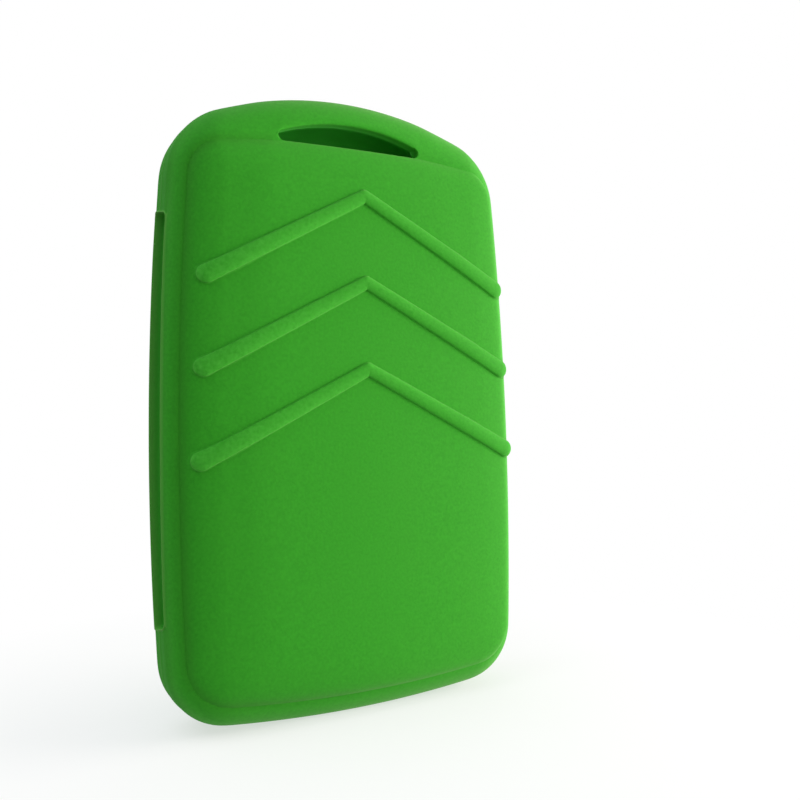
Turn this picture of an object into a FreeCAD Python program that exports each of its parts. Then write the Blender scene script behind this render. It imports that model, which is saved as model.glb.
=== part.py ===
# Soft key fob cover: a silicone sleeve with grip ribs, a side mouth, a key ring slot and a rimmed window.
# Millimetres. X runs across the cover, with the mouth at -X. Y runs from the chevron side to the window side.
# Z is up. The origin is the middle of the flat land at the foot, on the parting plane between the two sides.
import FreeCAD, Part
import math
import os

from FreeCAD import Vector

# Outline of the sleeve seen from the front: bulged sides, an arched top and an almost straight foot
HEIGHT = 82.0
WIDTH_MIDDLE = 51.0
FOOT_DRAW_IN = 0.9
SHOULDER_DRAW_IN = 2.75
TOP_ARCH_RADIUS = 49.0
FOOT_ARCH_RADIUS = 170.0
FOOT_LAND_LENGTH = 16.0
TOP_CORNER_RADIUS = 10.0
FOOT_CORNER_RADIUS = 8.0

# Thickness of the sleeve: a rounded border, and a raised and slightly crowned panel on each side
BORDER_DEPTH = 12.6
BORDER_EDGE_RADIUS = 4.5
PANEL_DEPTH = 14.2
PANEL_CROWN = 0.6
PANEL_MARGIN = 2.0
PANEL_EDGE_RADIUS = 1.0
PANEL_CORNER_RADIUS = 5.6
PANEL_TOP_RADIUS = 150.0
TOP_BAND = 7.6
WALL = 1.7

# Mouth in the side wall, where the fob goes in and its side buttons show
MOUTH_WIDTH = 6.2
MOUTH_FOOT_GAP = 13.8
MOUTH_TOP_GAP = 17.1
MOUTH_END_RADIUS = 1.6

# Key ring slot through both sides, just over the top edge of the panels
SLOT_PANEL_GAP = 0.25
SLOT_LENGTH = 20.8
SLOT_HEIGHT = 3.0
SLOT_END_HEIGHT = 1.6

# Window in the panel of the window side, with its raised rim set in a groove
WINDOW_WIDTH = 17.2
WINDOW_HEIGHT = 14.8
WINDOW_CENTRE_HEIGHT = 26.4
WINDOW_SIDE_RADIUS = 13.0
WINDOW_END_RADIUS = 15.0
WINDOW_CORNER_RADIUS = 5.0
WINDOW_DRAFT = 1.2
RIM_LAND = 0.3
RIM_WIDTH = 0.8
RIM_HEIGHT = 0.5
RIM_SEAT_DEPTH = 0.4
RIM_EDGE_RADIUS = 0.3

# Chevron grip ribs, round beads on the panel of the chevron side
RIB_NAMES = ("upper", "middle", "lower")
RIB_RISE = 11.2
RIB_PITCH = 11.4
RIB_TOP_GAP = 6.3
RIB_END_GAP = 0.7
RIB_WIDTH = 2.2
RIB_HEIGHT = 0.85

# Every cut runs past the solid by this much
OVERRUN = 2.0

WIDTH_FOOT = WIDTH_MIDDLE - 2 * FOOT_DRAW_IN
WIDTH_SHOULDER = WIDTH_MIDDLE - 2 * SHOULDER_DRAW_IN
PANEL_TOP = HEIGHT - TOP_BAND
PANEL_HALF_WIDTH = WIDTH_MIDDLE / 2 - PANEL_MARGIN
CROWN_LEVEL = PANEL_DEPTH / 2 + PANEL_CROWN
CROWN_RADIUS = (PANEL_HALF_WIDTH**2 + PANEL_CROWN**2) / (2 * PANEL_CROWN)
RIB_RADIUS = ((RIB_WIDTH / 2) ** 2 + RIB_HEIGHT**2) / (2 * RIB_HEIGHT)
ALONG_Y = Vector(0, 1, 0)
ALONG_Z = Vector(0, 0, 1)


def circle_through(first, second, third):
    """The circle (x, z, radius) through three points (x, z)."""
    a = Part.Circle(*(Vector(x, 0, z) for x, z in (first, second, third)))
    return a.Center.x, a.Center.z, a.Radius


def inset(circle, by):
    """The same circle with its radius smaller by that much."""
    x, z, radius = circle
    return x, z, radius - by


def corner(side, end, upper):
    """The point (x, z) where the side circle meets an end circle: the upper or the lower of the two."""
    dx, dz = end[0] - side[0], end[1] - side[1]
    apart = math.hypot(dx, dz)
    along = (side[2] ** 2 - end[2] ** 2 + apart**2) / (2 * apart)
    across = math.sqrt(side[2] ** 2 - along**2)
    base_x, base_z = side[0] + along * dx / apart, side[1] + along * dz / apart
    points = [(base_x + s * across * dz / apart, base_z - s * across * dx / apart) for s in (1, -1)]
    return max(points, key=lambda p: p[1]) if upper else min(points, key=lambda p: p[1])


def arc(circle, start, end, y):
    """The shorter arc of a circle between two points on it, at depth y."""
    x, z, radius = circle
    towards = math.atan2(start[1] + end[1] - 2 * z, start[0] + end[0] - 2 * x)
    middle = Vector(x + radius * math.cos(towards), y, z + radius * math.sin(towards))
    return Part.Arc(Vector(start[0], y, start[1]), middle, Vector(end[0], y, end[1])).toShape()


def mirrored(point):
    """The point on the other side of the centre line."""
    return -point[0], point[1]


def arched_wire(side, top, foot, y):
    """A closed outline of four arcs, the same on the left and the right, with sharp corners."""
    opposite = (-side[0], side[1], side[2])
    top_right = corner(side, top, True)
    foot_right = corner(side, foot, False)
    return Part.Wire([
        arc(side, foot_right, top_right, y),
        arc(top, top_right, mirrored(top_right), y),
        arc(opposite, mirrored(top_right), mirrored(foot_right), y),
        arc(foot, mirrored(foot_right), foot_right, y),
    ])


def depth_prism(wire, length):
    """A wire in a plane of constant Y, filled and carried along Y."""
    return Part.Face(wire).extrude(ALONG_Y * length)


def edges_along(shape, direction):
    """The straight edges that run in a direction."""
    straight = [e for e in shape.Edges if isinstance(e.Curve, Part.Line)]
    return [e for e in straight if e.Curve.Direction.isParallel(direction, Part.Precision.angular())]


def round_corners(prism, top_radius, foot_radius):
    """Rounds the four corners of an arched prism, the upper two and the lower two by their own radius."""
    upright = edges_along(prism, ALONG_Y)
    middle = prism.BoundBox.Center.z
    rounded = prism.makeFillet(top_radius, [e for e in upright if e.CenterOfMass.z > middle])
    lower = [e for e in edges_along(rounded, ALONG_Y) if e.CenterOfMass.z < middle]
    return rounded.makeFillet(foot_radius, lower)


SIDE_CIRCLE = circle_through(
    (WIDTH_FOOT / 2, 0), (WIDTH_MIDDLE / 2, HEIGHT / 2), (WIDTH_SHOULDER / 2, HEIGHT)
)
TOP_CIRCLE = (0, HEIGHT - TOP_ARCH_RADIUS, TOP_ARCH_RADIUS)
FOOT_CIRCLE = (0, math.sqrt(FOOT_ARCH_RADIUS**2 - (FOOT_LAND_LENGTH / 2) ** 2), FOOT_ARCH_RADIUS)
PANEL_TOP_CIRCLE = (0, PANEL_TOP - PANEL_TOP_RADIUS, PANEL_TOP_RADIUS)


def foot_trimmer(depth_in):
    """The space under the flat land of the foot, set in by that much."""
    half = WIDTH_MIDDLE / 2 + OVERRUN
    depth = BORDER_DEPTH + 2 * OVERRUN
    return Part.makeBox(2 * half, depth, OVERRUN, Vector(-half, -depth / 2, depth_in - OVERRUN))


def border_slab(depth_in):
    """The rounded slab that shows as the border round the panels, set in by that much all over."""
    half = BORDER_DEPTH / 2 - depth_in
    circles = (inset(c, depth_in) for c in (SIDE_CIRCLE, TOP_CIRCLE, FOOT_CIRCLE))
    sharp = depth_prism(arched_wire(*circles, -half), 2 * half)
    slab = round_corners(sharp, TOP_CORNER_RADIUS - depth_in, FOOT_CORNER_RADIUS - depth_in)
    ends = [f for f in slab.Faces if isinstance(f.Surface, Part.Plane)]
    rounded = slab.makeFillet(BORDER_EDGE_RADIUS - depth_in, [e for f in ends for e in f.Edges])
    return rounded.cut(foot_trimmer(depth_in))


def crowned_lens(depth_in):
    """The space between the two crowned panel faces, set in by that much and wider than the cover."""
    radius = CROWN_RADIUS - depth_in
    centre = CROWN_RADIUS - CROWN_LEVEL
    front, back = (
        Part.makeCylinder(radius, HEIGHT + 2 * OVERRUN, Vector(0, y, -OVERRUN), ALONG_Z)
        for y in (centre, -centre)
    )
    return front.common(back)


def panel_block(depth_in):
    """The block whose two ends are the crowned panels, set in by that much all over."""
    side, foot = (inset(c, PANEL_MARGIN + depth_in) for c in (SIDE_CIRCLE, FOOT_CIRCLE))
    top = inset(PANEL_TOP_CIRCLE, depth_in)
    half = CROWN_LEVEL + OVERRUN
    sharp = depth_prism(arched_wire(side, top, foot, -half), 2 * half)
    corner_radius = PANEL_CORNER_RADIUS - depth_in
    block = round_corners(sharp, corner_radius, corner_radius).common(crowned_lens(depth_in))
    edge_radius = PANEL_EDGE_RADIUS - depth_in
    if edge_radius <= 0:
        return block
    round_faces = [f for f in block.Faces if isinstance(f.Surface, Part.Cylinder)]
    crowned = [f for f in round_faces if f.Surface.Axis.isParallel(ALONG_Z, Part.Precision.angular())]
    return block.makeFillet(edge_radius, [e for f in crowned for e in f.Edges])


def sleeve_form(depth_in):
    """The whole outer form of the sleeve as a solid, set in by that much all over."""
    return border_slab(depth_in).fuse(panel_block(depth_in)).removeSplitter()


def mouth_cutter():
    """A bar with rounded corners through the side wall at -X."""
    length = HEIGHT - MOUTH_FOOT_GAP - MOUTH_TOP_GAP
    reach = OVERRUN + BORDER_EDGE_RADIUS
    start = Vector(-WIDTH_MIDDLE / 2 - OVERRUN, -MOUTH_WIDTH / 2, MOUTH_FOOT_GAP)
    bar = Part.makeBox(OVERRUN + reach, MOUTH_WIDTH, length, start)
    return bar.makeFillet(MOUTH_END_RADIUS, edges_along(bar, Vector(1, 0, 0)))


def key_ring_slot_cutter():
    """A D-shaped bar along Y: a straight lower edge, short rounded ends and an arched upper edge."""
    y = -CROWN_LEVEL - OVERRUN
    half = SLOT_LENGTH / 2
    end_radius = SLOT_END_HEIGHT / 2
    low = PANEL_TOP + SLOT_PANEL_GAP
    shoulder, crest = low + SLOT_END_HEIGHT, low + SLOT_HEIGHT
    left, right = Vector(end_radius - half, y, low), Vector(half - end_radius, y, low)
    left_top, right_top = Vector(left.x, y, shoulder), Vector(right.x, y, shoulder)
    wire = Part.Wire([
        Part.makeLine(left, right),
        Part.Arc(right, Vector(half, y, low + end_radius), right_top).toShape(),
        Part.Arc(right_top, Vector(0, y, crest), left_top).toShape(),
        Part.Arc(left_top, Vector(-half, y, low + end_radius), left).toShape(),
    ])
    return depth_prism(wire, -2 * y)


def window_prism(outward, y, length):
    """The window's outline grown by that much, carried along Y from y."""
    side = (WINDOW_WIDTH / 2 - WINDOW_SIDE_RADIUS, WINDOW_CENTRE_HEIGHT, WINDOW_SIDE_RADIUS)
    offset = WINDOW_HEIGHT / 2 - WINDOW_END_RADIUS
    top = (0, WINDOW_CENTRE_HEIGHT + offset, WINDOW_END_RADIUS)
    foot = (0, WINDOW_CENTRE_HEIGHT - offset, WINDOW_END_RADIUS)
    wire = arched_wire(*(inset(c, -outward) for c in (side, top, foot)), y)
    corner_radius = WINDOW_CORNER_RADIUS + outward
    return round_corners(depth_prism(wire, length), corner_radius, corner_radius)


def window_cutter():
    """The window's hole, which narrows from the panel's face to the inside of the wall."""
    slope = WINDOW_DRAFT / WALL
    outer, inner = CROWN_LEVEL + OVERRUN, CROWN_LEVEL - WALL - OVERRUN
    rings = []
    for y in (inner, outer):
        ends = window_prism((y - CROWN_LEVEL) * slope, y, OVERRUN).Faces
        flat = [f for f in ends if isinstance(f.Surface, Part.Plane)]
        rings.append(min(flat, key=lambda f: f.CenterOfMass.y).OuterWire)
    return Part.makeLoft(rings, True, True)


def window_rim():
    """The raised rim round the window: a flat-bottomed band with its two top edges rounded."""
    y = CROWN_LEVEL - RIM_SEAT_DEPTH
    length = RIM_SEAT_DEPTH + RIM_HEIGHT
    band = window_prism(RIM_LAND + RIM_WIDTH, y, length).cut(window_prism(RIM_LAND, y, length))
    top = max(band.Faces, key=lambda f: f.CenterOfMass.y)
    return band.makeFillet(RIM_EDGE_RADIUS, top.Edges)


def panel_edge(z):
    """How far the panel's side edge lies from the centre line at height z."""
    x, centre_z, radius = inset(SIDE_CIRCLE, PANEL_MARGIN)
    return x + math.sqrt(radius**2 - (z - centre_z) ** 2)


def rib_axis_level(x):
    """The Y of a rib's axis at x: sunk in the crowned panel so that the bead stands out by its height."""
    crown_drop = CROWN_RADIUS - math.sqrt(CROWN_RADIUS**2 - x**2)
    return RIB_RADIUS - RIB_HEIGHT + crown_drop - CROWN_LEVEL


def rib_arm(apex_z, sign):
    """A round bar from its rounded end, near a side edge of the panel, to the mitre on the centre line."""
    end_z = apex_z - RIB_RISE
    end_x = panel_edge(end_z) - RIB_END_GAP - RIB_WIDTH / 2
    end = Vector(sign * end_x, rib_axis_level(end_x), end_z)
    run = Vector(0, rib_axis_level(0), apex_z) - end
    length = run.Length + RIB_WIDTH
    nose, shoulder = Vector(0, 0, -RIB_RADIUS), Vector(RIB_RADIUS, 0, 0)
    bend = Vector(math.sin(math.pi / 4), 0, -math.cos(math.pi / 4)) * RIB_RADIUS
    far, middle = Vector(RIB_RADIUS, 0, length), Vector(0, 0, length)
    profile = Part.Wire([
        Part.Arc(nose, bend, shoulder).toShape(),
        Part.makeLine(shoulder, far),
        Part.makeLine(far, middle),
        Part.makeLine(middle, nose),
    ])
    bar = Part.Face(profile).revolve(Vector(0, 0, 0), ALONG_Z, 360)
    bar.Placement = FreeCAD.Placement(end, FreeCAD.Rotation(ALONG_Z, run))
    width = WIDTH_MIDDLE / 2 + OVERRUN
    depth = 2 * (CROWN_LEVEL + OVERRUN)
    corner_x = 0 if sign > 0 else -width
    return bar.common(Part.makeBox(width, depth, HEIGHT, Vector(corner_x, -depth / 2, 0)))


def chevron_rib(index, outer):
    """One grip rib: two round arms that meet in a mitre, less what lies inside the sleeve's outer form."""
    apex_z = PANEL_TOP - RIB_TOP_GAP - index * RIB_PITCH
    return rib_arm(apex_z, -1).fuse(rib_arm(apex_z, 1)).removeSplitter().cut(outer)


def half_space(sign):
    """A box that holds one side of the parting plane, the window side for 1 and the chevron side for -1."""
    half = WIDTH_MIDDLE / 2 + OVERRUN
    depth = CROWN_LEVEL + OVERRUN
    corner_y = 0 if sign > 0 else -depth
    return Part.makeBox(2 * half, depth, HEIGHT + 2 * OVERRUN, Vector(-half, corner_y, -OVERRUN))


def make_parts():
    """Every node's shape by its name."""
    outer = sleeve_form(0)
    sleeve = outer.cut(sleeve_form(WALL))
    for cutter in (mouth_cutter(), key_ring_slot_cutter(), window_cutter()):
        sleeve = sleeve.cut(cutter)
    rim = window_rim()
    parts = {
        "chevron_side_shell": sleeve.common(half_space(-1)),
        "window_side_shell": sleeve.common(half_space(1)).cut(rim),
        "window_rim": rim,
    }
    for index, name in enumerate(RIB_NAMES):
        parts[f"chevron_rib_{name}"] = chevron_rib(index, outer)
    return parts


def main():
    os.makedirs("parts", exist_ok=True)
    for name, shape in make_parts().items():
        print(f"{name}: {len(shape.Solids)} solid, {shape.Volume:.1f} mm3, valid {shape.isValid()}")
        shape.exportStep(f"parts/{name}.step")


main()
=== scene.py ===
"""Looks of a soft silicone key fob cover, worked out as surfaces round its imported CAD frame."""
import math

import bmesh
import bpy
import numpy as np
from mathutils import Euler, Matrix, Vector


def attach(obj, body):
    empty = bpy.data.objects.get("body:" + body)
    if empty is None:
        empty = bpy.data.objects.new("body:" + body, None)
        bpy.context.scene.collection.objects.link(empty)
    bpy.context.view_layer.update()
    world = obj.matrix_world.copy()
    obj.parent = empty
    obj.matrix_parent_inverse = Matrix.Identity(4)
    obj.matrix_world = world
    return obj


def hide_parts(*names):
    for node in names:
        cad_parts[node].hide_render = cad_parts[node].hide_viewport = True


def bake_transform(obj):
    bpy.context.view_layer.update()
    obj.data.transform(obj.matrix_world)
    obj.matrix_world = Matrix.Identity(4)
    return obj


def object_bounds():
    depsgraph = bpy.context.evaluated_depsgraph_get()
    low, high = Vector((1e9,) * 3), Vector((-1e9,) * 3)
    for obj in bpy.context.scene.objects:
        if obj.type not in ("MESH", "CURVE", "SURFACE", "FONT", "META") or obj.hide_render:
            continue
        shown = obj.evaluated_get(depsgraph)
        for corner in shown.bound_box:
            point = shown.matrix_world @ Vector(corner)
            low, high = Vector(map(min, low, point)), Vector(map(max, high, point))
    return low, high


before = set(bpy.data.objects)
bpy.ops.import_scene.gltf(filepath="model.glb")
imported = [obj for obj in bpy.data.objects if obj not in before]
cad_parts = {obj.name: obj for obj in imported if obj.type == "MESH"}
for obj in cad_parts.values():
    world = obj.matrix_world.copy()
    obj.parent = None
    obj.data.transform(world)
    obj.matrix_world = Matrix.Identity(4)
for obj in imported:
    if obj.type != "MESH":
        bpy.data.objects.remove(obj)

CAD_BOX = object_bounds()

# Lengths below are millimetres, and go into the meshes as metres
MM = 0.001

# Outline of the sleeve: bulged sides, an arched top and an almost straight foot
HEIGHT = (CAD_BOX[1].z - CAD_BOX[0].z) / MM
WIDTH_MIDDLE = (CAD_BOX[1].x - CAD_BOX[0].x) / MM
FOOT_DRAW_IN = 0.9
SHOULDER_DRAW_IN = 2.75
TOP_ARCH_RADIUS = 49.0
FOOT_ARCH_RADIUS = 170.0
FOOT_LAND_LENGTH = 16.0
TOP_CORNER_RADIUS = 10.0
FOOT_CORNER_RADIUS = 8.0

# Thickness: a rounded border, and a raised, soft-edged and slightly crowned panel on each side
BORDER_DEPTH = 12.6
BORDER_EDGE_RADIUS = 4.5
PANEL_DEPTH = 14.2
PANEL_CROWN = 0.6
PANEL_MARGIN = 2.0
PANEL_FOOT_MARGIN = 3.1
PANEL_TOP_CORNER_RADIUS = 4.4
PANEL_FOOT_CORNER_RADIUS = 5.6
PANEL_TOP_RADIUS = 150.0
TOP_BAND = 7.6
WALL = 1.7

# Slump of the empty sleeve: the panel's step softens and its face falls away, most towards the mouth
CLOSED_SIDE_SOFTNESS, MOUTH_SIDE_SOFTNESS = 0.3, 0.75
CLOSED_SIDE_FALL, MOUTH_SIDE_FALL = 0.45, 1.5
CLOSED_SIDE_RUN, MOUTH_SIDE_RUN = 9.0, 16.0
END_FALL, END_FALL_RUN = 1.0, 9.0

# Crease round the panel: a dip in the border, with painted shade along it and along the side wall by the
# mouth
CREASE_WIDTH = 0.2
CLOSED_SIDE_DIP, MOUTH_SIDE_DIP, LEAST_DIP_SHARE = 0.25, 1.2, 0.2
CREASE_DIP_WIDTH = 0.6
CREASE_SHADE_WIDTH = 0.7
SIDE_SHADE = 0.95
SIDE_SHADE_WIDTH = 0.35

# Mouth in the side wall, with a fine raised bead along its lips, and the parting line of the mould
MOUTH_LOW = 12.7
MOUTH_TOP_GAP = 16.0
MOUTH_HIGH = HEIGHT - MOUTH_TOP_GAP
MOUTH_END_SLANT = 1.1
MOUTH_CORNER_RUN, MOUTH_CORNER_DROP = 1.0, 0.5
LIP_BOW = 0.6
LIP_WIDTH = 0.14
LIP_HEIGHT = 0.22
# Painted highlights: a pale tone on the mouth's lips, on the ring beside them and on its cut walls, for light
# caught by and passing through thin silicone
LIP_HIGHLIGHT, BESIDE_LIP_HIGHLIGHT, CUT_WALL_LIGHT = 1.0, 0.7, 1.0
PARTING_RIDGE = 0.1
PARTING_HALF_WIDTH = 0.15
# Painted highlight along the parting line
PARTING_HIGHLIGHT = 0.7

# Key ring slot through both sides: straight below, arched above, with round ends
SLOT_RAISE = 0.25
SLOT_LOW = HEIGHT - TOP_BAND + SLOT_RAISE
SLOT_HALF_LENGTH = 10.25
SLOT_HEIGHT = 3.15
SLOT_END_RADIUS = 0.7
SLOT_SHIFT = -0.42
SLOT_LIP_ROLL, BESIDE_LIP_ROLL_SHARE = 0.25, 0.25
# Painted highlight along the slot's lower edge
SLOT_LIP_HIGHLIGHT = 0.7
SLOT_LOBE_REACH = 0.52
SLOT_LINE_SHARES = (1.0, 0.8, 0.5, 0.2, 0.0)

# Window in the window side, with its bead in a groove
WINDOW_WIDTH = 17.2
WINDOW_HEIGHT = 14.8
WINDOW_CENTRE_HEIGHT = 26.4
WINDOW_SIDE_RADIUS = 13.0
WINDOW_END_RADIUS = 15.0
WINDOW_CORNER_RADIUS = 5.0
WINDOW_DRAFT = 1.2
RIM_LAND = 0.3
RIM_WIDTH = 0.8
RIM_HEIGHT = 0.5
RIM_SEAT_DEPTH = 0.4
GROOVE_EDGE = 0.06
GROOVE_DRAFT = 0.02
GROOVE_FACE_NEAR, GROOVE_FACE_FAR = 0.25, 1.2
LAND_DROP = 0.05
WINDOW_EDGE_DROP = 0.15

# Chevron grip ribs: round beads with a soft foot
RIB_NAMES = ("upper", "middle", "lower")
RIB_RISE = 11.2
RIB_PITCH = 11.4
RIB_TOP_GAP = 6.3
RIB_END_GAPS = (0.7, 0.65, 0.4)
RIB_SHIFT = 0.64
RIB_APEX_WIDTH = 1.9
RIB_END_WIDTH = 2.5
RIB_HEIGHT = 0.46
RIB_FOOT_RADIUS = 0.25
RIB_SKIRT = 0.25
RIB_SQUARENESS = 0.95
RIB_LEAST_SIDE = 0.025
# Lighter tone on the ribs: scuffs with painted light along the arms, and a painted highlight at the ends
RIB_ARM_SCUFF_AND_LIGHT, RIB_END_HIGHLIGHT = 2.0, 2.0

# Sizes that follow from these
RIB_DATUM = HEIGHT - TOP_BAND
PANEL_TOP = SLOT_LOW + (SLOT_HALF_LENGTH - SLOT_END_RADIUS) ** 2 / (2 * PANEL_TOP_RADIUS)
CROWN_LEVEL = PANEL_DEPTH / 2 + PANEL_CROWN
PANEL_HALF_WIDTH = WIDTH_MIDDLE / 2 - PANEL_MARGIN
CROWN_RADIUS = (PANEL_HALF_WIDTH**2 + PANEL_CROWN**2) / (2 * PANEL_CROWN)
SIDE_FLAT = BORDER_DEPTH / 2 - BORDER_EDGE_RADIUS


# Outlines: eight arcs, each a circle's centre, its radius and the angles it runs between


def circle_through(first, second, third):
    """The circle (x, z, radius) through three points, from two equations of equal distance."""
    rows = np.array([np.subtract(second, first), np.subtract(third, first)])
    sums = [np.dot(second, second) - np.dot(first, first), np.dot(third, third) - np.dot(first, first)]
    centre = np.linalg.solve(2 * rows, sums)
    return centre[0], centre[1], math.dist(centre, first)


def corner_centre(side, end, radius, upper):
    """Where the side circle and an end circle cross once both are smaller by the corner's radius."""
    dx, dz = end[0] - side[0], end[1] - side[1]
    apart = math.hypot(dx, dz)
    side_radius, end_radius = side[2] - radius, end[2] - radius
    along = (side_radius**2 - end_radius**2 + apart**2) / (2 * apart)
    across = math.sqrt(side_radius**2 - along**2)
    found = [
        (side[0] + (along * dx + s * across * dz) / apart, side[1] + (along * dz - s * across * dx) / apart)
        for s in (1, -1)
    ]
    return max(found, key=lambda p: p[1]) if upper else min(found, key=lambda p: p[1])


def rounded_outline(side, top, foot, top_corner, foot_corner):
    """Rows (centre x, centre z, radius, first angle, last angle) of the arcs, anticlockwise from the foot's
    right corner. Arcs that touch share the angle of the line through their centres."""
    high = corner_centre(side, top, top_corner, True)
    low = corner_centre(side, foot, foot_corner, False)
    side_low = math.atan2(low[1] - side[1], low[0] - side[0])
    side_high = math.atan2(high[1] - side[1], high[0] - side[0])
    top_right = math.atan2(high[1] - top[1], high[0] - top[0])
    foot_right = math.atan2(low[1] - foot[1], low[0] - foot[0])
    half, full = math.pi, 2 * math.pi
    return np.array([
        (*low, foot_corner, foot_right, side_low),
        (*side, side_low, side_high),
        (*high, top_corner, side_high, top_right),
        (*top, top_right, half - top_right),
        (-high[0], high[1], top_corner, half - top_right, half - side_high),
        (-side[0], side[1], side[2], half - side_high, half - side_low),
        (-low[0], low[1], foot_corner, half - side_low, half - foot_right),
        (*foot, half - foot_right, full + foot_right),
    ])


SIDE = circle_through(
    (WIDTH_MIDDLE / 2 - FOOT_DRAW_IN, 0),
    (WIDTH_MIDDLE / 2, HEIGHT / 2),
    (WIDTH_MIDDLE / 2 - SHOULDER_DRAW_IN, HEIGHT),
)
TOP = (0, HEIGHT - TOP_ARCH_RADIUS, TOP_ARCH_RADIUS)
FOOT = (0, math.sqrt(FOOT_ARCH_RADIUS**2 - (FOOT_LAND_LENGTH / 2) ** 2), FOOT_ARCH_RADIUS)
PANEL_SIDE = (SIDE[0], SIDE[1], SIDE[2] - PANEL_MARGIN)
PANEL_FOOT = (FOOT[0], FOOT[1], FOOT[2] - PANEL_FOOT_MARGIN)
PANEL_TOP_ARCH = (0, PANEL_TOP - PANEL_TOP_RADIUS, PANEL_TOP_RADIUS)
WINDOW_SIDE = (WINDOW_WIDTH / 2 - WINDOW_SIDE_RADIUS, WINDOW_CENTRE_HEIGHT, WINDOW_SIDE_RADIUS)
WINDOW_END_OFFSET = WINDOW_HEIGHT / 2 - WINDOW_END_RADIUS
WINDOW_TOP = (0, WINDOW_CENTRE_HEIGHT + WINDOW_END_OFFSET, WINDOW_END_RADIUS)
WINDOW_FOOT = (0, WINDOW_CENTRE_HEIGHT - WINDOW_END_OFFSET, WINDOW_END_RADIUS)

BORDER_OUTLINE = rounded_outline(SIDE, TOP, FOOT, TOP_CORNER_RADIUS, FOOT_CORNER_RADIUS)
PANEL_OUTLINE = rounded_outline(
    PANEL_SIDE, PANEL_TOP_ARCH, PANEL_FOOT, PANEL_TOP_CORNER_RADIUS, PANEL_FOOT_CORNER_RADIUS
)
WINDOW_OUTLINE = rounded_outline(
    WINDOW_SIDE, WINDOW_TOP, WINDOW_FOOT, WINDOW_CORNER_RADIUS, WINDOW_CORNER_RADIUS
)
RIGHT_SIDE_ARC, TOP_ARC, LEFT_SIDE_ARC = 1, 3, 5
RIGHT_HALF_ARCS = (0, 1, 2, 3, 7)

# Columns of the sleeve's grid: an arc number and a share along that arc, the same for every outline
HALF_CORNER_COLUMNS = 5
SIDE_STEP = 4.0
SIDE_END_COLUMNS = 4
BESIDE_MOUTH_STEPS = LIP_WIDTH * np.array([0, 1, 2, 4.5, 9])
IN_MOUTH_STEPS = LIP_WIDTH * np.array([2, 6])
SLOT_COLUMNS = 20
SLOT_FADE = 0.8
SLOT_TAIL = (3.0, 1.6, SLOT_FADE, 0.3)
SLOT_END_X = SLOT_HALF_LENGTH - SLOT_LOBE_REACH


def side_shares():
    """Shares along the right side, upwards, with columns on the mouth's two ends and close beside them."""
    x, z, radius, first, last = BORDER_OUTLINE[RIGHT_SIDE_ARC]
    start, end = z + radius * np.sin([first, last])
    low_beside, high_beside = MOUTH_LOW - BESIDE_MOUTH_STEPS[::-1], MOUTH_HIGH + BESIDE_MOUTH_STEPS
    end_depth = MOUTH_END_SLANT + MOUTH_CORNER_DROP
    low_inside = MOUTH_LOW + end_depth + IN_MOUTH_STEPS
    high_inside = MOUTH_HIGH - end_depth - IN_MOUTH_STEPS[::-1]
    count = round((high_inside[0] - low_inside[-1]) / SIDE_STEP)
    middle = np.linspace(low_inside[-1], high_inside[0], count + 1)[1:-1]
    below = np.linspace(start, low_beside[0], SIDE_END_COLUMNS)[:-1]
    above = np.linspace(high_beside[-1], end, SIDE_END_COLUMNS)[1:-1]
    levels = np.concatenate([below, low_beside, low_inside, middle, high_inside, high_beside, above])
    return (np.arcsin((levels - z) / radius) - first) / (last - first)


def top_shares():
    """Shares along the top, right to left, close together towards the slot's two ends."""
    radius, first, last = PANEL_OUTLINE[TOP_ARC][2:]
    slot = SLOT_END_X * np.cos(np.linspace(0, math.pi, SLOT_COLUMNS + 1))
    tail = SLOT_END_X + np.array(SLOT_TAIL)
    across = SLOT_SHIFT + np.concatenate([tail, slot, -tail[::-1]])
    return np.concatenate([[0], (np.arccos(across / radius) - first) / (last - first)])


def column_plan():
    """The arc number and the share of every column, anticlockwise from the middle of the foot's right
    corner."""
    corner = np.arange(2 * HALF_CORNER_COLUMNS) / (2 * HALF_CORNER_COLUMNS)
    first_half, second_half = np.split(corner, 2)
    side, top = side_shares(), top_shares()
    down = np.concatenate([[0], 1 - side[:0:-1]])
    foot = np.arange(len(top)) / len(top)
    runs = [
        (0, second_half), (1, side), (2, corner), (3, top), (4, corner),
        (5, down), (6, corner), (7, foot), (0, first_half),
    ]
    arcs = np.concatenate([np.full(len(shares), number) for number, shares in runs])
    return arcs, np.concatenate([shares for number, shares in runs])


ARC, SHARE = column_plan()
COLUMNS = len(ARC)
UP_COLUMNS = 2 * HALF_CORNER_COLUMNS + len(side_shares())
ACROSS_COLUMNS = COLUMNS // 2 - UP_COLUMNS
SLOT_FIRST = np.flatnonzero(ARC == TOP_ARC)[1 + len(SLOT_TAIL)]
SLOT_SPAN = slice(SLOT_FIRST, SLOT_FIRST + SLOT_COLUMNS + 1)


def line(outline, inset):
    """Points (x, z) of an outline set in by a length: centre plus (radius less inset) times the unit
    vector."""
    x, z, radius, first, last = outline[ARC].T
    angle = first + SHARE * (last - first)
    reach = radius - inset
    return np.stack([x + reach * np.cos(angle), z + reach * np.sin(angle)], -1)


# Levels: how far a point of the sleeve lies from the parting plane. A point where two arcs meet faces both,
# by a small slack in its angle
ANGLE_SLACK = 1e-6


def crown_level(x, depth_in=0.0):
    """The crowned panel: a wide cylinder about an upright axis, less the depth it is set in."""
    return CROWN_LEVEL - depth_in - CROWN_RADIUS + np.sqrt(CROWN_RADIUS**2 - x**2)


def border_level(inset, depth_in=0.0):
    """The border: a flat side wall, then a quarter circle that runs from the side into the face."""
    radius = BORDER_EDGE_RADIUS - depth_in
    rest = radius - np.clip(inset, 0, radius)
    return SIDE_FLAT + np.sqrt(radius**2 - rest**2)


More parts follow.
